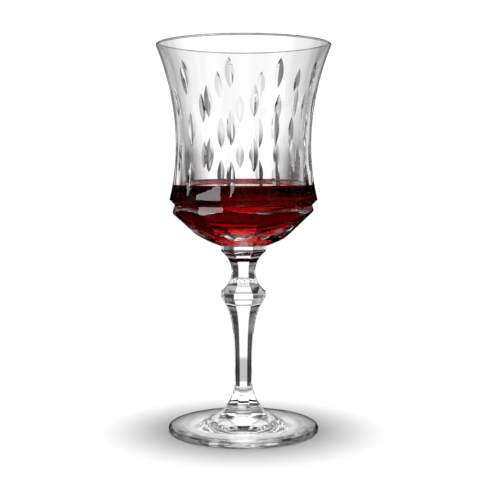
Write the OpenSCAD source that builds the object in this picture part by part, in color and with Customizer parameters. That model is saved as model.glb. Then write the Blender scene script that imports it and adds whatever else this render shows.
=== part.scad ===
// Stemmed crystal wine glass, filled to just above its shoulder.
// Millimetres, +Z up; the origin is the middle of the foot's resting plane.

/* [Overall] */
// Height from the table to the lip
height = 200; // [190:1:215]
// Diameter over the lip
rim_d = 90; // [84:1:96]

/* [Bowl] */
// Outside diameter of the waist, the bowl's narrowest place
waist_d = 69.8; // [66:0.2:72]
// Height of the waist
waist_z = 148; // [142:1:154]
// Outside diameter of the shoulder
shoulder_d = 76.6; // [74:0.2:80]
// Height of the shoulder's edge
shoulder_z = 120.3; // [118:0.1:122]
// Outside diameter at the bottom of the groove under the shoulder
groove_d = 71; // [69:0.2:73]
// Height of the groove's bottom
groove_z = 117.6; // [116:0.1:119]
// Outside diameter of the edge where the underside begins
keel_d = 74.2; // [72:0.2:76]
// Height of that edge
keel_z = 112.7; // [111:0.1:114]
// How far the underside bulges from a straight cone
underside_bulge = 1.75; // [1:0.05:2.5]

/* [Inside of the bowl] */
// Thickness of the lip
lip_wall = 1.5; // [1.2:0.1:2]
// Thickness of the wall at the waist
waist_wall = 2.1; // [1.8:0.1:2.6]
// Inside radius where the rounded bottom begins
well_r = 34; // [33:0.1:34.5]
// Height where the rounded bottom begins
well_z = 121; // [119:0.5:123]
// How much the rounded bottom narrows: 1 is an ellipse, more is closer to a cone
well_taper = 1.4; // [1:0.1:2]
// Height of the lowest point inside
well_floor_z = 104; // [103:0.5:106]
// Height of the wine's surface
wine_z = 128; // [112:1:145]

/* [Cut decoration] */
// Number of columns of olive cuts with three cuts each; as many columns of two stand between them
cut_columns = 10; // [6:1:10]
// Direction of one column of three, from the +X axis
first_cut = -102.3; // [-180:0.1:180]
// Drift of the hand indexing of the columns, in degrees
index_drift = 2.5; // [0:0.1:3]
// Depth of an olive cut
cut_depth = 0.9; // [0.4:0.1:1]
// Width of an olive cut
cut_w = 4.9; // [3:0.1:6]
// Number of flat facets under the shoulder
facets = 8; // [6:1:10]
// Direction of one ridge between two facets, from the +X axis
first_ridge = -77; // [-180:0.5:180]
// Radius at the top of a facet, in its middle
facet_r = 36.4; // [36:0.1:37]
// Height of the top of a facet, in its middle
facet_z = 115.35; // [114:0.05:116.5]
// Angle between a facet and the vertical
facet_lean = 45.5; // [44:0.5:47]

/* [Stem] */
// Height of the top of the collar, where the bowl sits
collar_z = 96.5; // [94:0.5:98]
// Width over the flats of the collar
collar_w = 23.3; // [22:0.1:25]
// Height of the collar's flat band
collar_h = 2.6; // [2:0.1:3.5]
// Width over the flats of the neck, between collar and knop
neck_w = 12.3; // [11:0.1:14]
// Height of the knop's upper edge
knop_z = 72.5; // [70:0.5:74]
// Width over the flats of the knop
knop_w = 23.2; // [21:0.1:25]
// Height of the knop's flat band
knop_h = 2.5; // [2:0.1:4]
// How fast the stem tapers under the knop
knop_fade = 9.2; // [7:0.1:10]
// Width over the flats of the shaft at its thinnest
shaft_w = 9; // [8:0.1:11]
// Height where the shaft begins to spread to the foot
spread_z = 26; // [22:0.5:30]
// Radius of that spread
spread_r = 24; // [22:0.5:27]

/* [Foot] */
// Diameter of the foot
foot_d = 78; // [72:1:84]
// Height of the small boss in the middle, where the stem stands
boss_z = 9.6; // [8.5:0.1:10.5]
// Diameter of the boss
boss_d = 24.4; // [24:0.1:27]
// Thickness of the foot at its edge
foot_edge = 3.2; // [2.6:0.1:4]
// Distance over which the boss fades into the foot
boss_fade = 6.9; // [5:0.1:8]
// Inside diameter of the ring that the glass rests on
rest_ring_d = 62; // [56:1:68]
// Rise of the hollow inside the resting ring
foot_hollow = 1.2; // [0.6:0.1:2]

/* [Hidden] */
crystal = [0.86, 0.9, 0.92, 0.45];
red_wine = [0.38, 0.01, 0.03, 0.9];
round_faces = 96;
sides = 8;

rim_r = rim_d / 2;
lip_r = lip_wall / 2;
lip_z = height - lip_r;
waist_r = waist_d / 2;
shoulder_r = shoulder_d / 2;
waist_in = waist_r - waist_wall;
foot_r = foot_d / 2;
knop_base = knop_z - knop_h;
neck_z = (collar_z - collar_h + knop_z) / 2;

// Heights and lengths of the olive cuts: columns of three, and columns of two.
trios = [[182, 15.3], [155.6, 17.3], [130.8, 18.4]];
pairs = [[168.8, 16.3], [142.7, 17.3]];

// Radius of the arc that leaves the vertical and moves out by spread over a height rise.
function arc_radius(rise, spread) = (rise * rise + spread * spread) / (2 * spread);

// Radius at height z of a throat that is narrowest, with radius r0, at z0.
function throat_r(z, r0, z0, bend) = r0 + bend - sqrt(bend * bend - (z - z0) * (z - z0));

// Points of that throat from height za to height zb.
function throat(r0, z0, bend, za, zb, steps) =
    [for (i = [0:steps]) let (z = za + (zb - za) * i / steps) [throat_r(z, r0, z0, bend), z]];

// Points of the arc from p to q that bulges by rise to the right of the way from p to q.
function bulge(p, q, rise, steps) =
    let (way = q - p, chord = norm(way), u = way / chord, side = [u.y, -u.x])
    let (r = arc_radius(chord / 2, rise), half = asin(chord / 2 / r))
    [for (i = [0:steps]) let (a = half * (2 * i / steps - 1))
        (p + q) / 2 + u * r * sin(a) + side * r * (cos(a) - cos(half))];

flare_bend = arc_radius(lip_z - waist_z, rim_r - waist_r);
skirt_bend = arc_radius(waist_z - shoulder_z, shoulder_r - waist_r);
flare_bend_in = arc_radius(lip_z - waist_z, rim_r - lip_wall - waist_in);
skirt_bend_in = arc_radius(waist_z - well_z, well_r - waist_in);
neck_bend = arc_radius(knop_z - neck_z, (knop_w - neck_w) / 2);

// Wall of the bowl seen from outside: radius, slope and bend at height z.
function wall_bend(z) = z > waist_z ? flare_bend : skirt_bend;
function wall_r(z) = throat_r(z, waist_r, waist_z, wall_bend(z));
function wall_lean(z) = asin((z - waist_z) / wall_bend(z));

// Half outline of the outside of the bowl, from its seat on the stem up to the lip.
outside = concat(
    [[0, collar_z]],
    bulge([collar_w / 2 / cos(180 / sides), collar_z], [keel_d / 2, keel_z], underside_bulge, 9),
    [[groove_d / 2, groove_z]],
    throat(waist_r, waist_z, skirt_bend, shoulder_z, waist_z, 6),
    throat(waist_r, waist_z, flare_bend, waist_z + 5, lip_z, 9));

// The round lip, from the outside over the top to the inside.
lip = [for (a = [0:30:180]) [rim_r - lip_r + lip_r * cos(a), lip_z + lip_r * sin(a)]];

// Half outline of the inside of the bowl, from the lip down to its floor.
inside = concat(
    throat(waist_in, waist_z, flare_bend_in, lip_z - 4, waist_z, 9),
    throat(waist_in, waist_z, skirt_bend_in, waist_z - 6, well_z, 4),
    [for (a = [81:-9:0]) [well_r * pow(sin(a), well_taper), well_z - (well_z - well_floor_z) * cos(a)]]);

// A grinding wheel with a V edge, standing upright, that leaves an olive cut at height z.
module olive_cut(z, length) {
    wheel_r = 1 / (8 * cut_depth / (length * length) + 1 / wall_bend(z));
    edge = 2 * cut_depth;
    lean = wall_lean(z);
    reach = wheel_r - cut_depth;
    translate([wall_r(z) + reach * cos(lean), 0, z - reach * sin(lean)])
        rotate([90, 0, 0])
            rotate_extrude($fn = round_faces)
                polygon([[0, -cut_w], [wheel_r - edge, -cut_w], [wheel_r, 0],
                         [wheel_r - edge, cut_w], [0, cut_w]]);
}

module cut_column(cuts, direction) {
    rotate(direction + index_drift * cos(direction + 90))
        for (cut = cuts)
            olive_cut(cut[0], cut[1]);
}

// The waste that one flat grinding pass takes off the underside.
module facet_waste() {
    size = 40;
    translate([facet_r, 0, facet_z])
        rotate([0, facet_lean, 0])
            translate([0, -size / 2, -size])
                cube([size, size, 2 * size]);
}

module bowl() {
    step = 360 / cut_columns;
    color(crystal)
        difference() {
            rotate_extrude($fn = round_faces)
                polygon(concat(outside, lip, inside));
            for (i = [0:cut_columns - 1]) {
                cut_column(trios, first_cut + i * step);
                cut_column(pairs, first_cut + (i + 0.5) * step);
            }
            for (i = [0:facets - 1])
                rotate(first_ridge + (i + 0.5) * 360 / facets)
                    facet_waste();
        }
}

// Half outline of the stem: half the width over two opposite flats against height.
function stem_outline() = concat(
    [[collar_w / 2, collar_z]],
    throat(neck_w / 2, neck_z, neck_bend, 2 * neck_z - knop_z, knop_z, 14),
    [for (i = [0:12]) let (z = knop_base - (knop_base - spread_z) * pow(i / 12, 1.5))
        [shaft_w / 2 + (knop_w - shaft_w) / 2 * exp((z - knop_base) / knop_fade), z]],
    throat(shaft_w / 2, spread_z, spread_r, spread_z - 4, boss_z, 7));

module stem() {
    half = stem_outline();
    other = [for (i = [len(half) - 1:-1:0]) [-half[i].x, half[i].y]];
    color(crystal)
        intersection_for(i = [0:sides / 2 - 1])
            rotate([90, 0, i * 360 / sides])
                linear_extrude(height = foot_d, center = true)
                    polygon(concat(half, other));
}

module foot() {
    edge_r = foot_edge / 2;
    boss_r = boss_d / 2;
    slope_end = foot_r - edge_r;
    color(crystal)
        rotate_extrude($fn = round_faces)
            polygon(concat(
                [[0, foot_hollow]],
                bulge([rest_ring_d / 8, foot_hollow * 0.94], [rest_ring_d / 2, 0], -0.2, 5),
                [for (i = [0:8]) let (a = -90 + 20 * i)
                    [slope_end + edge_r * cos(a), edge_r + edge_r * sin(a)]],
                [for (i = [0:10]) let (r = slope_end + (boss_r - slope_end) * pow(i / 10, 0.7))
                    [r, foot_edge + (boss_z - foot_edge) * exp((boss_r - r) / boss_fade)]],
                [[0, boss_z]]));
}

module wine() {
    color(red_wine)
        intersection() {
            rotate_extrude($fn = round_faces)
                polygon(concat([[0, lip_z - 4]], inside));
            cylinder(r = foot_r, h = wine_z);
        }
}

bowl();
stem();
foot();
wine();
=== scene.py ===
"""Looks of the wine glass: cut crystal bowl, panelled stem, round foot and red wine, in a studio."""
import math

import bpy
import numpy as np
from mathutils import Matrix, Vector


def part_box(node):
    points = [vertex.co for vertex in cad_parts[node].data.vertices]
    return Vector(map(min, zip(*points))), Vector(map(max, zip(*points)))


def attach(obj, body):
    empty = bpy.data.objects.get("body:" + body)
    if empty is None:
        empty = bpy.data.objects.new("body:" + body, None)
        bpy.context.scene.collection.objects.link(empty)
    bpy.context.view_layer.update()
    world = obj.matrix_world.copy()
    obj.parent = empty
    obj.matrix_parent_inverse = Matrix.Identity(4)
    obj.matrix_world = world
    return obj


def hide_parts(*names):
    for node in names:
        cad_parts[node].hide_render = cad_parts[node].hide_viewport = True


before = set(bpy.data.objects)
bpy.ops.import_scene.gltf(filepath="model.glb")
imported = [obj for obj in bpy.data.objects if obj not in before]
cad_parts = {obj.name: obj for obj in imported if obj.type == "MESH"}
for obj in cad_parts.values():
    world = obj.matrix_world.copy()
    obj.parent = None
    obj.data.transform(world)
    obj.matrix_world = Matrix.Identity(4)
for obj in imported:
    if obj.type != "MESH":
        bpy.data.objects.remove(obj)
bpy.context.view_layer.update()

MM = 0.001
TURNS = 240

# Places that come from the CAD frame, in millimetres.
bowl_low, bowl_high = (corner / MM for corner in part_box("bowl"))
stem_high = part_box("stem")[1] / MM
foot_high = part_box("foot")[1] / MM
wine_low, wine_high = (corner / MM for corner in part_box("wine"))
LIP_TOP = bowl_high.z
RIM_R = bowl_high.x
SEAT_Z = bowl_low.z
FOOT_R = foot_high.x
BOSS_Z = foot_high.z
WINE_Z = wine_high.z
WELL_FLOOR_Z = wine_low.z
COLLAR_HALF = stem_high.x

# The bowl's outline, as in the CAD source, in millimetres.
WAIST_R, WAIST_Z = 34.9, 148.0
SHOULDER_R, SHOULDER_Z = 38.3, 120.3
GROOVE_R, GROOVE_Z = 35.5, 117.6
KEEL_R, KEEL_Z = 37.1, 112.7
UNDERSIDE_BULGE = 1.75
LIP_WALL, WAIST_WALL = 1.5, 2.1
WELL_R, WELL_Z, WELL_TAPER = 34.0, 121.0, 1.4

# The cuts.
CUT_COLUMNS, FIRST_CUT, INDEX_DRIFT = 10, -102.3, 2.5
CUT_DEPTH, CUT_SPREAD = 0.9, 4.9 / 1.8
TRIOS = ((182.0, 15.3), (155.6, 17.3), (130.8, 18.4))
PAIRS = ((168.8, 16.3), (142.7, 17.3))
FACETS, FIRST_RIDGE = 8, -77.0
FACET_R, FACET_Z, FACET_LEAN = 36.4, 115.35, 45.5
RIDGE_BEVEL = 0.12

# The stem and the foot.
SIDES = 8
ARRIS = 0.09
COLLAR_H = 2.6
NECK_HALF = 6.15
KNOP_Z, KNOP_HALF, KNOP_H, KNOP_FADE = 72.5, 11.6, 2.5, 9.2
SHAFT_HALF, SPREAD_Z, SPREAD_R = 4.5, 26.0, 24.0
FOOT_EDGE, BOSS_FADE, REST_RING_R, FOOT_HOLLOW = 3.2, 6.9, 31.0, 1.2

# Refractive indices. The wine's is nearly 1 at the walls, where the crystal's wetted side bends the light.
CRYSTAL_IOR, WINE_IOR, WINE_WALL_IOR = 1.53, 1.345, 1.0005
POLISH_WAVE = 0.000012
WINE_TINT, WINE_DENSITY = (0.955, 0.02, 0.06, 1.0), 330.0
# An outward normal that leans up more than this belongs to the wine's free surface.
FREE_SURFACE = 0.3

# The wine's edge on the wall, and how far it climbs above the level.
CONTACT_Z, CLIMB = WINE_Z - 0.4, 1.8

# Painted shade put on the wetted wall for its looks, a lighter red below and near black above, standing in
# for light through shallow and deep wine: its heights, and its colour below and above them.
PAINTED_SHADE_Z = (113.5, 118.5)
PAINTED_SHADE_LOW = (0.95, 0.4, 0.4, 1.0)
PAINTED_SHADE_HIGH = (0.045, 0.006, 0.008, 1.0)

# The studio. A panel's stops are the cosine of so many times the azimuth, and the brightness there.
PANEL_SHIFT = -1.0
TENT_R, TENT_FOOT_R, TENT_TOP = 0.22, 0.06, 0.233
HIGH_PANELS = ((-1.0, 0.65), (-0.5, 0.18), (-0.17, 0.26), (0.34, 0.68), (0.588, 0.8), (0.8, 1.0))
MIDDLE_PANELS = ((-1.0, 0.5), (-0.85, 0.04), (-0.45, 0.05), (0.0, 0.5), (0.5, 1.0))
LOW_PANELS = ((-1.0, 0.5), (-0.92, 0.04), (-0.6, 0.04), (-0.3, 0.35), (0.3, 0.65), (0.65, 1.0))
HIGH_COUNT, LOW_COUNT = 4.0, 8.0
LOW_END, HIGH_START, CEILING_EDGE = (0.040, 0.055), (0.135, 0.175), 0.015
SKIRT_BOTTOM, SKIRT_TOP, SKIRT_LEVEL = (0.006, 0.009), (0.016, 0.020), 0.5
TENT_LEVEL = 1.12
FLOOR_GLOW, SKY, OVERHEAD, OVERHEAD_SPREAD, FOOT_LIGHT = 0.02, 0.16, 3.15, 0.12, 3.2


# ---------------------------------------------------------------- outlines

def arc_radius(rise, spread):
    return (rise * rise + spread * spread) / (2 * spread)


def throat(r0, z0, bend, z):
    """Radius at height z of a throat narrowest, with radius r0, at z0."""
    return r0 + bend - np.sqrt(bend * bend - (z - z0) ** 2)


def bulge(p, q, rise, steps):
    """Points of the arc from p to q that bulges by rise to the right of the way from p to q."""
    p, q = np.array(p), np.array(q)
    chord = np.linalg.norm(q - p)
    along = (q - p) / chord
    side = np.array([along[1], -along[0]])
    radius = arc_radius(chord / 2, rise)
    half = math.asin(chord / 2 / radius)
    a = half * np.linspace(-1, 1, steps)[:, None]
    return (p + q) / 2 + along * radius * np.sin(a) + side * radius * (np.cos(a) - math.cos(half))


def fillet(before, corner, after, radius, steps=7):
    """Points of a round corner, from the line before-corner to the line corner-after."""
    corner = np.array(corner, float)
    u = np.array(before, float) - corner
    v = np.array(after, float) - corner
    u, v = u / np.linalg.norm(u), v / np.linalg.norm(v)
    half = math.acos(float(np.clip(u @ v, -1, 1))) / 2
    reach = radius / math.tan(half)
    start, end = corner + u * reach, corner + v * reach
    centre = corner + (u + v) / np.linalg.norm(u + v) * radius / math.sin(half)
    a, b = start - centre, end - centre
    turn = math.atan2(a[0] * b[1] - a[1] * b[0], a @ b)
    out = []
    for t in np.linspace(0, turn, steps):
        c, s = math.cos(t), math.sin(t)
        out.append(centre + np.array([a[0] * c - a[1] * s, a[0] * s + a[1] * c]))
    return np.array(out)


LIP_R = LIP_WALL / 2
LIP_Z = LIP_TOP - LIP_R
WAIST_IN = WAIST_R - WAIST_WALL
FLARE = arc_radius(LIP_Z - WAIST_Z, RIM_R - WAIST_R)
SKIRT = arc_radius(WAIST_Z - SHOULDER_Z, SHOULDER_R - WAIST_R)
FLARE_IN = arc_radius(LIP_Z - WAIST_Z, RIM_R - LIP_WALL - WAIST_IN)
SKIRT_IN = arc_radius(WAIST_Z - WELL_Z, WELL_R - WAIST_IN)
SEAT_R = COLLAR_HALF / math.cos(math.pi / SIDES)


def wall_bend(z):
    return FLARE if z > WAIST_Z else SKIRT


def wall_r(z):
    """Outside radius of the wall above the shoulder."""
    return np.where(z > WAIST_Z, throat(WAIST_R, WAIST_Z, FLARE, z), throat(WAIST_R, WAIST_Z, SKIRT, z))


def inside_r(z):
    """Inside radius of the bowl at height z."""
    z = np.asarray(z, float)
    upper = throat(WAIST_IN, WAIST_Z, FLARE_IN, np.maximum(z, WAIST_Z))
    lower = throat(WAIST_IN, WAIST_Z, SKIRT_IN, np.clip(z, WELL_Z, WAIST_Z))
    depth = np.clip((WELL_Z - z) / (WELL_Z - WELL_FLOOR_Z), 0, 1)
    well = WELL_R * np.sqrt(1 - depth * depth) ** WELL_TAPER
    return np.where(z > WAIST_Z, upper, np.where(z > WELL_Z, lower, well))


def bowl_outside():
    underside = bulge((SEAT_R, SEAT_Z), (KEEL_R, KEEL_Z), UNDERSIDE_BULGE, 34)
    keel = fillet(underside[-2], (KEEL_R, KEEL_Z), (GROOVE_R, GROOVE_Z), 0.35)
    groove = fillet((KEEL_R, KEEL_Z), (GROOVE_R, GROOVE_Z), (SHOULDER_R, SHOULDER_Z), 0.5)
    over = SHOULDER_Z + 2
    shoulder = fillet((GROOVE_R, GROOVE_Z), (SHOULDER_R, SHOULDER_Z), (float(wall_r(over)), over), 0.7, 9)
    z = np.linspace(shoulder[-1][1] + 0.5, LIP_Z, 98)
    return np.vstack([underside[:-1], keel, groove, shoulder, np.column_stack([wall_r(z), z])])


def lip():
    a = np.radians(np.linspace(0, 180, 11)[1:-1])
    return np.column_stack([RIM_R - LIP_R + LIP_R * np.cos(a), LIP_Z + LIP_R * np.sin(a)])


def well(steps, gap=0.0):
    """The rounded bottom of the inside, from its edge down to just off the axis, drawn in by gap."""
    a = np.radians(np.linspace(90, 2, steps)[1:])
    r = (WELL_R - gap) * np.sin(a) ** WELL_TAPER
    return np.column_stack([r, WELL_Z - (WELL_Z - WELL_FLOOR_Z - gap) * np.cos(a)])


def bowl_inside(top):
    """The inside from height top down to just above the lowest point."""
    z = np.concatenate([np.linspace(top, CONTACT_Z, 56), np.linspace(CONTACT_Z, WELL_Z, 12)[1:]])
    return np.vstack([np.column_stack([inside_r(z), z]), well(36)])


# ---------------------------------------------------------------- mesh building

def panel_radius(angle, half, corner):
    """Distance from the axis to an eight-sided outline with rounded corners; half is half its width."""
    sector = 2 * math.pi / SIDES
    phi = np.abs((angle + sector / 2) % sector - sector / 2)
    flat_end = (half - corner) * math.tan(sector / 2)
    centre_r = (half - corner) / math.cos(sector / 2)
    off = phi - sector / 2
    inside_root = np.maximum(corner ** 2 - (centre_r * np.sin(off)) ** 2, 0)
    rounded = centre_r * np.cos(off) + np.sqrt(inside_root)
    return np.where(np.tan(phi) * half < flat_end, half / np.cos(phi), rounded)


def even_turn(count=TURNS):
    return np.arange(count) * 2 * math.pi / count


def panel_turn(half, corner):
    """Angles that follow an eight-sided outline closely, with extra ones round its corners."""
    sector = 2 * math.pi / SIDES
    edge = math.atan((half - corner) * math.tan(sector / 2) / half)
    one = np.concatenate([np.linspace(-edge, edge, 9)[:-1], np.linspace(edge, sector - edge, 9)[:-1]])
    return np.concatenate([one + i * sector for i in range(SIDES)])


def grid_mesh(name, rings, start, end):
    """A mesh through rings of points, each (count, 3); start and end are 'face', 'pole' or 'open'."""
    count = len(rings[0])
    verts = np.vstack(rings) * MM
    faces = []
    for i in range(len(rings) - 1):
        a, b = i * count, (i + 1) * count
        for j in range(count):
            k = (j + 1) % count
            faces.append((a + j, a + k, b + k, b + j))
    verts = list(map(tuple, verts))
    for kind, ring, flip in ((start, 0, True), (end, len(rings) - 1, False)):
        loop = [ring * count + j for j in range(count)]
        if kind == "pole":
            z = verts[loop[0]][2]
            pole = len(verts)
            verts.append((0.0, 0.0, z))
            for j in range(count):
                a, b = loop[j], loop[(j + 1) % count]
                faces.append((b, a, pole) if flip else (a, b, pole))
        elif kind == "face":
            faces.append(tuple(reversed(loop)) if flip else tuple(loop))
    mesh = bpy.data.meshes.new(name)
    mesh.from_pydata(verts, [], faces)
    mesh.update()
    return mesh


def new_object(name, mesh):
    obj = bpy.data.objects.new(name, mesh)
    bpy.context.scene.collection.objects.link(obj)
    return obj


def round_ring(r, z, turn):
    return np.column_stack([r * np.cos(turn), r * np.sin(turn), np.broadcast_to(z, turn.shape)])


def soften(mesh, sharp_degrees=14):
    """Smooth shading, with sharp edges where the surface or its material breaks."""
    mesh.polygons.foreach_set("use_smooth", [True] * len(mesh.polygons))
    mesh.set_sharp_from_angle(angle=math.radians(sharp_degrees))
    mesh.update()


def cutter(name, mesh):
    """A cutting tool, whose faces leave material index 1."""
    for mat in (None, None):
        mesh.materials.append(mat)
    mesh.polygons.foreach_set("material_index", [1] * len(mesh.polygons))
    return new_object(name, mesh)


def boolean_cut(obj, cutters):
    mod = obj.modifiers.new("cut", "BOOLEAN")
    mod.operation = "DIFFERENCE"
    mod.solver = "EXACT"
    mod.object = cutters
    bpy.context.view_layer.update()
    mesh = bpy.data.meshes.new_from_object(obj.evaluated_get(bpy.context.evaluated_depsgraph_get()))
    obj.modifiers.clear()
    old = obj.data
    obj.data = mesh
    bpy.data.meshes.remove(old)
    bpy.data.objects.remove(cutters)
    return obj


# ---------------------------------------------------------------- the bowl

def wheel_mark(z, length, direction):
    """Vertices and faces of the V-shaped stretch of grinding wheel that leaves one olive cut."""
    wheel_r = 1 / (8 * CUT_DEPTH / length ** 2 + 1 / wall_bend(z))
    lean = math.asin((z - WAIST_Z) / wall_bend(z))
    reach = wheel_r - CUT_DEPTH
    centre = np.array([float(wall_r(z)) + reach * math.cos(lean), 0, z - reach * math.sin(lean)])
    span = math.asin((length / 2 + 2.5) / wheel_r)
    steps = 28
    depth = 2.4 * CUT_DEPTH
    section = ((wheel_r, 0.0), (wheel_r - depth, depth * CUT_SPREAD), (wheel_r - depth, -depth * CUT_SPREAD))
    turn = Matrix.Rotation(direction, 3, "Z")
    verts, faces = [], []
    for a in np.linspace(-span, span, steps + 1):
        for r, side in section:
            local = centre + r * np.array([-math.cos(a + lean), 0, math.sin(a + lean)])
            local[1] = side
            verts.append(tuple(turn @ Vector(local) * MM))
    for i in range(steps):
        for k in range(3):
            a, b = 3 * i + k, 3 * i + (k + 1) % 3
            faces.append((b, a, a + 3, b + 3))
    faces += [(0, 1, 2), (3 * steps + 2, 3 * steps + 1, 3 * steps)]
    return verts, faces


def cut_marks():
    """All the olive cuts' wheel marks, as one mesh object."""
    verts, faces = [], []
    step = 360 / CUT_COLUMNS
    for column in range(2 * CUT_COLUMNS):
        aim = FIRST_CUT + column * step / 2
        direction = math.radians(aim + INDEX_DRIFT * math.cos(math.radians(aim + 90)))
        for z, length in (PAIRS if column % 2 else TRIOS):
            v, f = wheel_mark(z, length, direction)
            faces += [tuple(i + len(verts) for i in face) for face in f]
            verts += v
    mesh = bpy.data.meshes.new("marks")
    mesh.from_pydata(verts, [], faces)
    return cutter("marks", mesh)


def facet_waste():
    """The slabs that the flat grinding passes take off the underside, as one mesh object each."""
    size, out = 34.0, []
    lean = math.radians(FACET_LEAN)
    half_turn = math.pi / FACETS
    flat = (FACET_R, FACET_Z, lean)
    ridge_lean = math.atan(math.tan(lean) / math.cos(half_turn))
    squeeze = math.hypot(math.cos(lean) * math.cos(half_turn), math.sin(lean))
    offset = (FACET_R * math.cos(lean) - FACET_Z * math.sin(lean)) / squeeze - RIDGE_BEVEL
    ridge_r = (offset + FACET_Z * math.sin(ridge_lean)) / math.cos(ridge_lean)
    passes = [(i + 0.5, flat) for i in range(FACETS)]
    passes += [(i, (ridge_r, FACET_Z, ridge_lean)) for i in range(FACETS)]
    for step, (r, z, angle) in passes:
        turn = Matrix.Rotation(math.radians(FIRST_RIDGE) + step * 2 * half_turn, 4, "Z")
        tilt = Matrix.Rotation(angle, 4, "Y")
        place = turn @ Matrix.Translation(Vector((r, 0, z))) @ tilt
        box = [(x, y, z) for x in (0, size) for y in (-size, size) for z in (-size, size)]
        verts = [tuple(place @ Vector(corner) * MM) for corner in box]
        faces = [(0, 1, 3, 2), (4, 6, 7, 5), (0, 4, 5, 1), (2, 3, 7, 6), (0, 2, 6, 4), (1, 5, 7, 3)]
        mesh = bpy.data.meshes.new("slab")
        mesh.from_pydata(verts, [], faces)
        out.append(cutter("slab", mesh))
    return out


def build_bowl():
    turn = even_turn()
    outline = np.vstack([bowl_outside(), lip(), bowl_inside(LIP_Z)])
    seat = panel_radius(turn, COLLAR_HALF, ARRIS * COLLAR_HALF)
    seat_rings, seat_blend = 10, 4
    rings = []
    for i, (r, z) in enumerate(outline):
        ring_r = np.full(TURNS, r)
        if i < seat_rings:
            fade = max(0.0, 1 - (r - SEAT_R) / seat_blend) ** 2
            ring_r = r - (SEAT_R - seat) * fade
        rings.append(round_ring(ring_r, z, turn))
    mesh = grid_mesh("crystal_bowl", rings, "face", "pole")
    for mat in (None, None):
        mesh.materials.append(mat)
    bowl = new_object("crystal_bowl", mesh)
    boolean_cut(bowl, cut_marks())
    for slab in facet_waste():
        boolean_cut(bowl, slab)
    soften(bowl.data)
    return bowl


# ---------------------------------------------------------------- stem, foot, wine

def stem_outline():
    neck_z = (SEAT_Z - COLLAR_H + KNOP_Z) / 2
    neck_bend = arc_radius(KNOP_Z - neck_z, KNOP_HALF - NECK_HALF)
    band_z = 2 * neck_z - KNOP_Z
    z = np.linspace(band_z, KNOP_Z, 46)[1:-1]
    neck = np.column_stack([throat(NECK_HALF, neck_z, neck_bend, z), z])
    base_z = KNOP_Z - KNOP_H
    z = base_z - (base_z - SPREAD_Z) * np.linspace(0, 1, 50) ** 1.4
    taper = np.column_stack([SHAFT_HALF + (KNOP_HALF - SHAFT_HALF) * np.exp((z - base_z) / KNOP_FADE), z])
    z = np.linspace(SPREAD_Z - 0.6, BOSS_Z, 36)
    spread = np.column_stack([throat(SHAFT_HALF, SPREAD_Z, SPREAD_R, z), z])
    band = [(COLLAR_HALF, SEAT_Z), (COLLAR_HALF, band_z + COLLAR_H / 2)]
    collar_edge = fillet(band[0], (COLLAR_HALF, band_z), neck[1], 0.5)
    knop_top = fillet(neck[-2], (KNOP_HALF, KNOP_Z), (KNOP_HALF, base_z), 0.5)
    knop_low = fillet((KNOP_HALF, KNOP_Z), (KNOP_HALF, base_z), taper[2], 0.5)
    return np.vstack([band, collar_edge, neck[1:-1], knop_top, knop_low, taper[3:], spread])


def build_stem():
    turn = panel_turn(1.0, ARRIS)
    rings = []
    for half, z in stem_outline():
        corner = ARRIS * half
        rings.append(round_ring(panel_radius(turn, half, corner), z, turn))
    rings.reverse()
    stem = new_object("crystal_stem", grid_mesh("crystal_stem", rings, "face", "face"))
    soften(stem.data, 30)
    return stem


def build_foot():
    turn = even_turn()
    edge = FOOT_EDGE / 2
    slope_end = FOOT_R - edge
    end_half = float(throat(SHAFT_HALF, SPREAD_Z, SPREAD_R, BOSS_Z))
    boss_r = end_half / math.cos(math.pi / SIDES)
    r = slope_end + (boss_r - slope_end) * np.linspace(0, 1, 90) ** 0.8
    top = FOOT_EDGE + (BOSS_Z - FOOT_EDGE) * np.exp((boss_r - r) / BOSS_FADE)
    spun = 0.015 * np.sin(r * 1.1) * np.clip((r - boss_r) / 5, 0, 1) * np.clip((slope_end - r) / 4, 0, 1)
    a = np.radians(np.linspace(-88, 80, 20))
    rim = np.column_stack([slope_end + edge * np.cos(a), edge + edge * np.sin(a)])
    ring = fillet((0, 0.9 * FOOT_HOLLOW), (REST_RING_R, 0), (slope_end, 0), 6.0, 9)
    r_in = np.linspace(0.3, ring[0][0], 30)[:-1]
    line = FOOT_HOLLOW * np.cos(r_in / REST_RING_R * math.pi / 2)
    hollow = np.column_stack([r_in, np.maximum(line, ring[0][1])])
    outline = np.vstack([hollow, ring, rim, np.column_stack([r, top + spun])])
    neck = panel_radius(turn, end_half, ARRIS * end_half)
    underside_rings, neck_blend = 60, 5
    rings = []
    for i, (r, z) in enumerate(outline):
        ring_r = np.full(TURNS, r)
        if i > underside_rings and r < boss_r + neck_blend:
            ring_r = r - (boss_r - neck) * (1 - (r - boss_r) / neck_blend) ** 2
        rings.append(round_ring(ring_r, z, turn))
    foot = new_object("crystal_foot", grid_mesh("crystal_foot", rings, "pole", "face"))
    soften(foot.data, 30)
    return foot


def build_wine():
    turn = even_turn()
    gap, reach = 0.03, 1.7
    level = CONTACT_Z - CLIMB
    z = np.linspace(CONTACT_Z, WELL_Z, 14)
    wall = np.column_stack([inside_r(z) - gap, z])
    edge_r = wall[0][0]
    r = edge_r - 10 * np.linspace(0, 1, 36)[1:] ** 1.7
    top = np.column_stack([r, level + CLIMB * np.exp((r - edge_r) / reach)])
    flat = np.column_stack([np.linspace(r[-1], 0.5, 14)[1:], np.full(13, level)])
    outline = np.vstack([well(40, gap)[::-1], wall[::-1], top, flat])
    rings = [round_ring(r, z, turn) for r, z in outline]
    wine = new_object("red_wine", grid_mesh("red_wine", rings, "pole", "pole"))
    soften(wine.data, 40)
    return wine


# ---------------------------------------------------------------- materials

def empty_material(name):
    mat = bpy.data.materials.new(name)
    mat.use_nodes = True
    nodes = mat.node_tree.nodes
    nodes.clear()
    out = nodes.new("ShaderNodeOutputMaterial")
    bsdf = nodes.new("ShaderNodeBsdfPrincipled")
    mat.node_tree.links.new(bsdf.outputs["BSDF"], out.inputs["Surface"])
    return mat, bsdf, out


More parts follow.
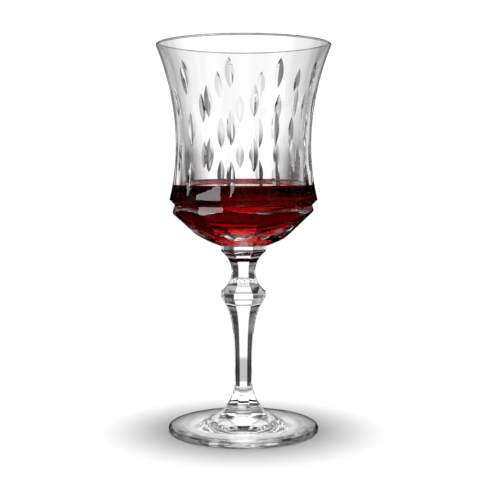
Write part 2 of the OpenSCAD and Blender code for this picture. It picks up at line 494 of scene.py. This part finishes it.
def noise(mat, scale, detail, stretch=(1, 1, 1)):
    """A noise texture fixed to the object, in cycles per metre."""
    nodes, links = mat.node_tree.nodes, mat.node_tree.links
    coords = nodes.new("ShaderNodeTexCoord")
    mapping = nodes.new("ShaderNodeMapping")
    mapping.inputs["Scale"].default_value = stretch
    tex = nodes.new("ShaderNodeTexNoise")
    tex.inputs["Scale"].default_value = scale
    tex.inputs["Detail"].default_value = detail
    links.new(coords.outputs["Object"], mapping.inputs["Vector"])
    links.new(mapping.outputs["Vector"], tex.inputs["Vector"])
    return tex


def spread(mat, source, low, high, target):
    """Turns a texture's 0.35-0.65 into low-high on the target socket."""
    ramp = mat.node_tree.nodes.new("ShaderNodeMapRange")
    ramp.inputs["From Min"].default_value = 0.35
    ramp.inputs["From Max"].default_value = 0.65
    ramp.inputs["To Min"].default_value = low
    ramp.inputs["To Max"].default_value = high
    mat.node_tree.links.new(source, ramp.inputs["Value"])
    mat.node_tree.links.new(ramp.outputs["Result"], target)


def waviness(mat, bsdf, source, distance):
    bump = mat.node_tree.nodes.new("ShaderNodeBump")
    bump.inputs["Strength"].default_value = 1.0
    bump.inputs["Distance"].default_value = distance
    mat.node_tree.links.new(source, bump.inputs["Height"])
    mat.node_tree.links.new(bump.outputs["Normal"], bsdf.inputs["Normal"])


def crystal(name, ior, rough, wave):
    """Clear lead crystal: rough is the highest roughness, wave the depth of the polish marks in metres."""
    mat, bsdf, _ = empty_material(name)
    bsdf.inputs["Base Color"].default_value = (1.0, 1.0, 1.0, 1.0)
    bsdf.inputs["Transmission Weight"].default_value = 1.0
    bsdf.inputs["IOR"].default_value = ior
    bsdf.inputs["Roughness"].default_value = 0.0
    if rough:
        spread(mat, noise(mat, 90, 3).outputs["Fac"], 0.0, rough, bsdf.inputs["Roughness"])
    if wave:
        waviness(mat, bsdf, noise(mat, 60, 2, (1, 1, 0.4)).outputs["Fac"], wave)
    return mat


def painted_shade_edge(name, dark, bright, scale):
    """An edge ground by hand, whose glass is tinted with darker and lighter patches of painted shade for
    dark edge lines.
    """
    mat = crystal(name, CRYSTAL_IOR, 0.04, 0)
    bsdf = mat.node_tree.nodes["Principled BSDF"]
    spread(mat, noise(mat, scale, 1, (1, 1, 4)).outputs["Fac"], dark, bright, bsdf.inputs["Base Color"])
    return mat


def wetted_painted_shade():
    """The inside under the wine, with painted shade: a red tint that darkens upwards, standing in for light
    through deeper wine, and is only for looks.
    """
    mat = crystal("wetted_painted_shade", CRYSTAL_IOR / WINE_IOR, 0, 0)
    nodes, links = mat.node_tree.nodes, mat.node_tree.links
    bsdf = nodes["Principled BSDF"]
    coords = nodes.new("ShaderNodeTexCoord")
    split = nodes.new("ShaderNodeSeparateXYZ")
    ramp = nodes.new("ShaderNodeMapRange")
    # Painted shade: the wall's tint goes from a lighter red to near black with height.
    ramp.interpolation_type = "SMOOTHSTEP"
    ramp.inputs["From Min"].default_value = PAINTED_SHADE_Z[0] * MM
    ramp.inputs["From Max"].default_value = PAINTED_SHADE_Z[1] * MM
    mix = nodes.new("ShaderNodeMix")
    mix.data_type = "RGBA"
    mix.inputs["A"].default_value = PAINTED_SHADE_LOW
    mix.inputs["B"].default_value = PAINTED_SHADE_HIGH
    links.new(coords.outputs["Object"], split.inputs["Vector"])
    links.new(split.outputs["Z"], ramp.inputs["Value"])
    links.new(ramp.outputs["Result"], mix.inputs["Factor"])
    links.new(mix.outputs["Result"], bsdf.inputs["Base Color"])
    return mat


def wine_material():
    """Red wine, which absorbs through its depth; of its faces only the free surface bends light."""
    mat, bsdf, out = empty_material("red_wine")
    nodes, links = mat.node_tree.nodes, mat.node_tree.links
    bsdf.inputs["Base Color"].default_value = (1.0, 1.0, 1.0, 1.0)
    bsdf.inputs["Transmission Weight"].default_value = 1.0
    bsdf.inputs["IOR"].default_value = WINE_IOR
    bsdf.inputs["Roughness"].default_value = 0.0
    geometry = nodes.new("ShaderNodeNewGeometry")
    split = nodes.new("ShaderNodeSeparateXYZ")
    top = nodes.new("ShaderNodeMath")
    top.operation = "GREATER_THAN"
    top.inputs[1].default_value = FREE_SURFACE
    index = nodes.new("ShaderNodeMapRange")
    index.inputs["To Min"].default_value = WINE_WALL_IOR
    index.inputs["To Max"].default_value = WINE_IOR
    absorb = nodes.new("ShaderNodeVolumeAbsorption")
    absorb.inputs["Color"].default_value = WINE_TINT
    absorb.inputs["Density"].default_value = WINE_DENSITY
    links.new(geometry.outputs["True Normal"], split.inputs["Vector"])
    flip = nodes.new("ShaderNodeMath")
    flip.operation = "MULTIPLY_ADD"
    flip.inputs[1].default_value = -2.0
    flip.inputs[2].default_value = 1.0
    outward = nodes.new("ShaderNodeMath")
    outward.operation = "MULTIPLY"
    links.new(geometry.outputs["Backfacing"], flip.inputs[0])
    links.new(split.outputs["Z"], outward.inputs[0])
    links.new(flip.outputs["Value"], outward.inputs[1])
    links.new(outward.outputs["Value"], top.inputs[0])
    links.new(top.outputs["Value"], index.inputs["Value"])
    links.new(index.outputs["Result"], bsdf.inputs["IOR"])
    links.new(absorb.outputs["Volume"], out.inputs["Volume"])
    return mat


def assign(obj, materials, choose):
    """Gives each face the material whose index choose(centre in mm, normal, index so far) returns."""
    obj.data.materials.clear()
    for mat in materials:
        obj.data.materials.append(mat)
    for face in obj.data.polygons:
        face.material_index = choose(face.center / MM, face.normal, face.material_index)


# ---------------------------------------------------------------- studio

def hide_from(obj, *rays):
    for ray in rays:
        setattr(obj, "visible_" + ray, False)


def floor():
    mesh = bpy.data.meshes.new("floor")
    ring = [(60 * math.cos(a), 60 * math.sin(a), 0.0) for a in np.linspace(0, 2 * math.pi, 65)[:-1]]
    mesh.from_pydata(ring, [], [tuple(range(64))])
    obj = new_object("floor", mesh)
    mat, bsdf, _ = empty_material("white_floor")
    bsdf.inputs["Base Color"].default_value = (0.9, 0.9, 0.9, 1.0)
    bsdf.inputs["Roughness"].default_value = 1.0
    bsdf.inputs["Specular IOR Level"].default_value = 0.0
    bsdf.inputs["Emission Color"].default_value = (1.0, 1.0, 1.0, 1.0)
    bsdf.inputs["Emission Strength"].default_value = FLOOR_GLOW
    obj.data.materials.append(mat)
    hide_from(obj, "glossy")
    return obj


def math_node(tree, operation, first, second=None):
    """A Math node's output; first and second are numbers or sockets."""
    node = tree.nodes.new("ShaderNodeMath")
    node.operation = operation
    for i, value in enumerate((first, second)):
        if value is None:
            continue
        if isinstance(value, (int, float)):
            node.inputs[i].default_value = value
        else:
            tree.links.new(value, node.inputs[i])
    return node.outputs["Value"]


def smooth_ramp(tree, source, low, high, first, last):
    """A smooth change from first to last while source goes from low to high."""
    node = tree.nodes.new("ShaderNodeMapRange")
    node.interpolation_type = "SMOOTHSTEP"
    for socket, value in (("From Min", low), ("From Max", high), ("To Min", first), ("To Max", last)):
        node.inputs[socket].default_value = value
    tree.links.new(source, node.inputs["Value"])
    return node.outputs["Result"]


def curve(tree, source, stops):
    """A piecewise linear curve of source, which runs from -1 to 1; stops are (source, value)."""
    node = tree.nodes.new("ShaderNodeValToRGB")
    elements = node.color_ramp.elements
    elements.remove(elements[1])
    elements[0].position = (stops[0][0] + 1) / 2
    elements[0].color = (stops[0][1], stops[0][1], stops[0][1], 1.0)
    for at, value in stops[1:]:
        elements.new((at + 1) / 2).color = (value, value, value, 1.0)
    half = math_node(tree, "MULTIPLY", source, 0.5)
    tree.links.new(math_node(tree, "ADD", half, 0.5), node.inputs["Fac"])
    return node.outputs["Color"]


def blend(tree, amount, first, second):
    node = tree.nodes.new("ShaderNodeMix")
    for socket, value in (("Factor", amount), ("A", first), ("B", second)):
        tree.links.new(value, node.inputs[socket])
    return node.outputs["Result"]


def tent_panels(tree, split):
    """Bright panels and dark gaps; the pattern repeats four times round high up, eight times lower."""
    azimuth = math_node(tree, "ARCTAN2", split.outputs["Y"], split.outputs["X"])
    azimuth = math_node(tree, "ADD", azimuth, math.radians(PANEL_SHIFT))
    four = math_node(tree, "COSINE", math_node(tree, "MULTIPLY", azimuth, HIGH_COUNT))
    eight = math_node(tree, "COSINE", math_node(tree, "MULTIPLY", azimuth, LOW_COUNT))
    high = curve(tree, four, HIGH_PANELS)
    middle = curve(tree, eight, MIDDLE_PANELS)
    low = curve(tree, eight, LOW_PANELS)
    is_low = smooth_ramp(tree, split.outputs["Z"], *LOW_END, 1.0, 0.0)
    is_high = smooth_ramp(tree, split.outputs["Z"], *HIGH_START, 0.0, 1.0)
    return blend(tree, is_high, blend(tree, is_low, middle, low), high)


def tent_material():
    """The tent's panels, under a dark ceiling and with a half-grey skirt near the table."""
    mat = bpy.data.materials.new("tent")
    mat.use_nodes = True
    tree = mat.node_tree
    tree.nodes.clear()
    out = tree.nodes.new("ShaderNodeOutputMaterial")
    glow = tree.nodes.new("ShaderNodeEmission")
    coords = tree.nodes.new("ShaderNodeTexCoord")
    split = tree.nodes.new("ShaderNodeSeparateXYZ")
    tree.links.new(coords.outputs["Object"], split.inputs["Vector"])
    height = split.outputs["Z"]
    panels = tent_panels(tree, split)
    ceiling = smooth_ramp(tree, height, TENT_TOP, TENT_TOP + CEILING_EDGE, 1.0, 0.0)
    below = smooth_ramp(tree, height, *SKIRT_BOTTOM, 1.0, SKIRT_LEVEL)
    above = smooth_ramp(tree, height, *SKIRT_TOP, SKIRT_LEVEL, 1.0)
    skirt = math_node(tree, "MAXIMUM", below, above)
    level = math_node(tree, "MULTIPLY", math_node(tree, "MULTIPLY", panels, ceiling), skirt)
    tree.links.new(math_node(tree, "MULTIPLY", level, TENT_LEVEL), glow.inputs["Strength"])
    tree.links.new(glow.outputs["Emission"], out.inputs["Surface"])
    mat.cycles.emission_sampling = "NONE"
    return mat


def tent():
    """A round tent that is seen only by rays that have passed through the glass."""
    turn = even_turn(128)
    a = np.radians([20, 40, 60, 80, 88])
    z = np.concatenate([[0.0, 0.012], np.linspace(0.05, 0.3, 10), 0.3 + TENT_R * np.sin(a)]) / MM
    r = np.concatenate([[TENT_FOOT_R, 0.12], np.full(10, TENT_R), TENT_R * np.cos(a)]) / MM
    rings = [round_ring(ri, zi, turn) for ri, zi in zip(r, z)]
    obj = new_object("tent", grid_mesh("tent", rings, "open", "pole"))
    obj.data.materials.append(tent_material())
    hide_from(obj, "camera", "diffuse", "glossy", "shadow", "volume_scatter")
    return obj


def gobo():
    """A round card above the glass that is only there for its soft shade on the floor."""
    turn = even_turn(64)
    mesh = bpy.data.meshes.new("gobo")
    mesh.from_pydata([tuple(p * MM) for p in round_ring(52.0, 250.0, turn)], [], [tuple(range(64))])
    obj = new_object("gobo", mesh)
    hide_from(obj, "camera", "diffuse", "glossy", "transmission", "volume_scatter")
    return obj


def dark_ring(name, inner, outer, z, *unseen_by):
    """A flat dark ring that only some rays meet; sizes in millimetres."""
    turn = even_turn(64)
    rings = [round_ring(r, z, turn) for r in (inner, outer)]
    obj = new_object(name, grid_mesh(name, rings, "open", "open"))
    mat, bsdf, _ = empty_material(name)
    bsdf.inputs["Base Color"].default_value = (0.0, 0.0, 0.0, 1.0)
    bsdf.inputs["Specular IOR Level"].default_value = 0.0
    obj.data.materials.append(mat)
    hide_from(obj, "camera", "diffuse", "shadow", "volume_scatter", *unseen_by)
    return obj


def sky():
    """An even dome that only lights the floor."""
    turn = even_turn(32)
    a = np.radians(np.linspace(-5, 86, 12))
    rings = [round_ring(70 * math.cos(t) / MM, 70 * math.sin(t) / MM, turn) for t in a]
    obj = new_object("sky", grid_mesh("sky", rings, "open", "pole"))
    mat = bpy.data.materials.new("sky")
    mat.use_nodes = True
    nodes = mat.node_tree.nodes
    nodes.clear()
    glow = nodes.new("ShaderNodeEmission")
    glow.inputs["Strength"].default_value = SKY
    out = nodes.new("ShaderNodeOutputMaterial")
    mat.node_tree.links.new(glow.outputs["Emission"], out.inputs["Surface"])
    mat.cycles.emission_sampling = "NONE"
    obj.data.materials.append(mat)
    hide_from(obj, "camera", "glossy", "transmission", "shadow", "volume_scatter")
    return obj


def softbox(name, azimuth, elevation, distance, width, height, radiance):
    """A rectangular light; azimuth is from the -Y axis towards +X, as for the camera."""
    light = bpy.data.lights.new(name, "AREA")
    light.shape = "RECTANGLE"
    light.size, light.size_y = width, height
    light.energy = radiance * width * height * math.pi
    a, e = math.radians(azimuth), math.radians(elevation)
    place = Vector((math.sin(a) * math.cos(e), -math.cos(a) * math.cos(e), math.sin(e))) * distance
    obj = bpy.data.objects.new(name, light)
    obj.location = place + Vector((0, 0, 0.13))
    obj.rotation_euler = place.to_track_quat("Z", "Y").to_euler()
    hide_from(obj, "camera", "diffuse", "transmission")
    bpy.context.scene.collection.objects.link(obj)
    return obj


def foot_light():
    """A small soft spot on the table under the foot, which lights the foot from below."""
    light = bpy.data.lights.new("foot_light", "SPOT")
    light.energy = FOOT_LIGHT
    light.spot_size = 2 * math.atan(0.040 / 0.24)
    light.spot_blend = 0.9
    light.shadow_soft_size = 0.0
    light.use_shadow = False
    obj = bpy.data.objects.new("foot_light", light)
    obj.location = (0.0, 0.0, 0.24)
    hide_from(obj, "camera", "glossy", "transmission")
    bpy.context.scene.collection.objects.link(obj)
    return obj


def overhead():
    """A broad light from straight above, which whitens the floor and gives the glass its soft shadow."""
    light = bpy.data.lights.new("overhead", "SUN")
    light.angle = 2 * math.atan(OVERHEAD_SPREAD)
    light.energy = OVERHEAD
    obj = bpy.data.objects.new("overhead", light)
    hide_from(obj, "camera", "glossy", "transmission")
    bpy.context.scene.collection.objects.link(obj)
    return obj


def studio():
    scene = bpy.context.scene
    world = bpy.data.worlds.new("white_room")
    world.use_nodes = True
    world.node_tree.nodes["Background"].inputs["Color"].default_value = (1.0, 1.0, 1.0, 1.0)
    world.node_tree.nodes["Background"].inputs["Strength"].default_value = 1.05
    scene.world = world
    world.cycles_visibility.diffuse = False
    world.cycles_visibility.glossy = False
    floor()
    tent()
    sky()
    gobo()
    # The card keeps the foot's reflection off the facets. The two painted-shade rings are black sheets in
    # the foot's hollow, seen only through the glass, that paint dark lines of shade there; from above, the
    # outer one shows as a thin circle.
    dark_ring("black_card", 9.0, 80.0, 24.0, "transmission")
    dark_ring("painted_shade_ring", 9.0, 12.5, 0.15, "glossy")
    dark_ring("painted_shade_ring_outer", 16.0, 17.5, 0.15, "glossy")
    softbox("key", -58, 27, 0.75, 0.55, 0.25, 4.5)
    overhead()
    foot_light()
    scene.view_settings.view_transform = "Standard"
    scene.cycles.max_bounces = 48
    scene.cycles.transmission_bounces = 48
    scene.cycles.glossy_bounces = 24
    scene.cycles.transparent_max_bounces = 24


def camera():
    cam = bpy.data.cameras.new("camera")
    cam.lens = 77.93
    cam.sensor_width = 36.0
    cam.shift_y = -0.03
    obj = bpy.data.objects.new("camera", cam)
    obj.location = (0.0, -0.5376, 0.1341)
    aim = Vector((-0.0018, 0.0, 0.1068))
    obj.rotation_euler = (aim - obj.location).to_track_quat("-Z", "Y").to_euler()
    bpy.context.scene.collection.objects.link(obj)
    bpy.context.scene.camera = obj


# ---------------------------------------------------------------- the glass

def is_low_inside(centre):
    """Whether a point on the bowl lies on the inside, below the wine's edge."""
    r = math.hypot(centre.x, centre.y)
    if centre.z > CONTACT_Z or centre.z < WELL_FLOOR_Z - 0.2:
        return False
    return r < float(inside_r(centre.z)) + 0.3


def dress_bowl(bowl, clear, cut, wetted, joint, rim):
    def choose(centre, normal, index):
        if centre.z > LIP_Z:
            return 4
        if centre.z < SEAT_Z + 0.01:
            return 3
        if index:
            return 1
        return 2 if is_low_inside(centre) else 0
    assign(bowl, (clear, cut, wetted, joint, rim), choose)


def dress_foot(foot, clear, joint, rim):
    def choose(centre, normal, index):
        if centre.z > BOSS_Z - 0.001:
            return 1
        on_edge = math.hypot(centre.x, centre.y) > FOOT_R - 1.4
        return 2 if on_edge else 0
    assign(foot, (clear, joint, rim), choose)


def main():
    clear = crystal("crystal", CRYSTAL_IOR, 0.006, POLISH_WAVE)
    cut = crystal("cut_crystal", CRYSTAL_IOR, 0.01, POLISH_WAVE)
    # The wetted wall carries painted shade of the wine's depth in its tint.
    wetted = wetted_painted_shade()
    joint = crystal("crystal_joint", 1.0, 0, 0)
    joint.node_tree.nodes["Principled BSDF"].inputs["Alpha"].default_value = 0.0
    # Painted shade on the lip and on the foot's edge: dark patches in the glass's tint give their dark
    # outlines.
    rim = painted_shade_edge("rim_painted_shade", 0.42, 0.62, 60)
    foot_rim = painted_shade_edge("foot_rim_painted_shade", 0.02, 0.8, 200)
    bowl = build_bowl()
    dress_bowl(bowl, clear, cut, wetted, joint, rim)
    stem = build_stem()
    stem_top, stem_base = SEAT_Z - 0.01, BOSS_Z + 0.01
    assign(stem, (clear, joint), lambda c, n, i: int(c.z > stem_top or c.z < stem_base))
    foot = build_foot()
    dress_foot(foot, clear, joint, foot_rim)
    wine = build_wine()
    assign(wine, (wine_material(),), lambda c, n, i: 0)
    for obj, node, slot in ((bowl, "bowl", "bowl_crystal"), (stem, "stem", "stem_crystal"),
                            (foot, "foot", "foot_crystal"), (wine, "wine", "red_wine")):
        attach(obj, "root")
        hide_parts(node)


main()
studio()
camera()
